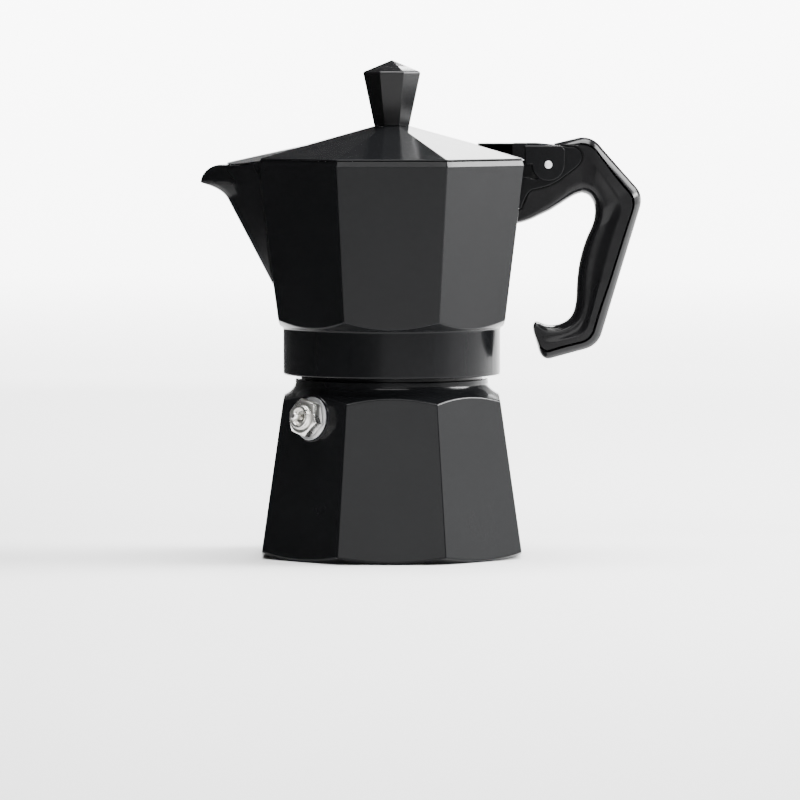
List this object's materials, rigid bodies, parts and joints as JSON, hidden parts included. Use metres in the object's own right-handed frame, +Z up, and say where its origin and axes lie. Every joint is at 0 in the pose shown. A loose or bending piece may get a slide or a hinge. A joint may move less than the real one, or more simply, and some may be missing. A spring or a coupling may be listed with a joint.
{
  "type": "moka pot",
  "caption": "Stove-top coffee pot: faceted boiler with safety valve, screw-on upper chamber with spout, hinged lid with knob, moulded side handle.",
  "frame": {"origin": "on the pot's vertical axis, at the face it stands on", "axes": "+Z up, +X towards the handle, -X towards the spout, -Y towards the facet beside the valve"},
  "size_m": [0.1421, 0.0848, 0.1599],
  "materials": {
    "black_enamel": "smooth satin black enamel on cast aluminium",
    "black_plastic": "glossy moulded black heat-resistant plastic",
    "cast_aluminium": "bare cast aluminium, fine satin",
    "sheet_aluminium": "pressed sheet, bright satin",
    "nickel": "nickel-plated brass, bright",
    "steel": "polished stainless steel",
    "brass": "turned brass",
    "silicone": "matt off-white silicone"
  },
  "bodies": {
    "base": {"boiler": "black_enamel", "valve_body": "nickel", "valve_washer": "cast_aluminium", "valve_seat": "brass", "valve_spring": "steel", "funnel": "sheet_aluminium", "funnel_strainer": "sheet_aluminium"},
    "valve_stem": {"valve_piston": "nickel"},
    "seal": {"gasket": "silicone", "filter_plate": "sheet_aluminium"},
    "upper": {"upper_chamber": "black_enamel", "hinge_pin": "steel", "handle": "black_plastic"},
    "lid": {"lid": "black_enamel", "knob": "black_plastic", "knob_insert": "brass", "knob_screw": "steel", "knob_washer": "cast_aluminium"}
  },
  "joints": [
    {"name": "thread_lift", "type": "slide", "parent": "base", "child": "seal", "axis": [0, 0, 1], "range_m": [0, 0.0062]},
    {"name": "chamber_unscrew", "type": "hinge", "parent": "seal", "child": "upper", "pos_m": [0, 0, 0], "axis": [0, 0, 1], "range_deg": [0, 720]},
    {"name": "lid_open", "type": "hinge", "parent": "upper", "child": "lid", "pos_m": [0.05026, 0, 0.12635], "axis": [0, 1, 0], "range_deg": [0, 100]},
    {"name": "valve_lift", "type": "slide", "parent": "base", "child": "valve_stem", "axis": [-0.7001, -0.7001, 0.1401], "range_m": [0, 0.0012], "stiffness_N_per_m": 1800, "springref_m": -0.0011}
  ],
  "couplings": [
    {"joint": "thread_lift", "follows": "chamber_unscrew", "m_per_rad": 0.00047746}
  ]
}
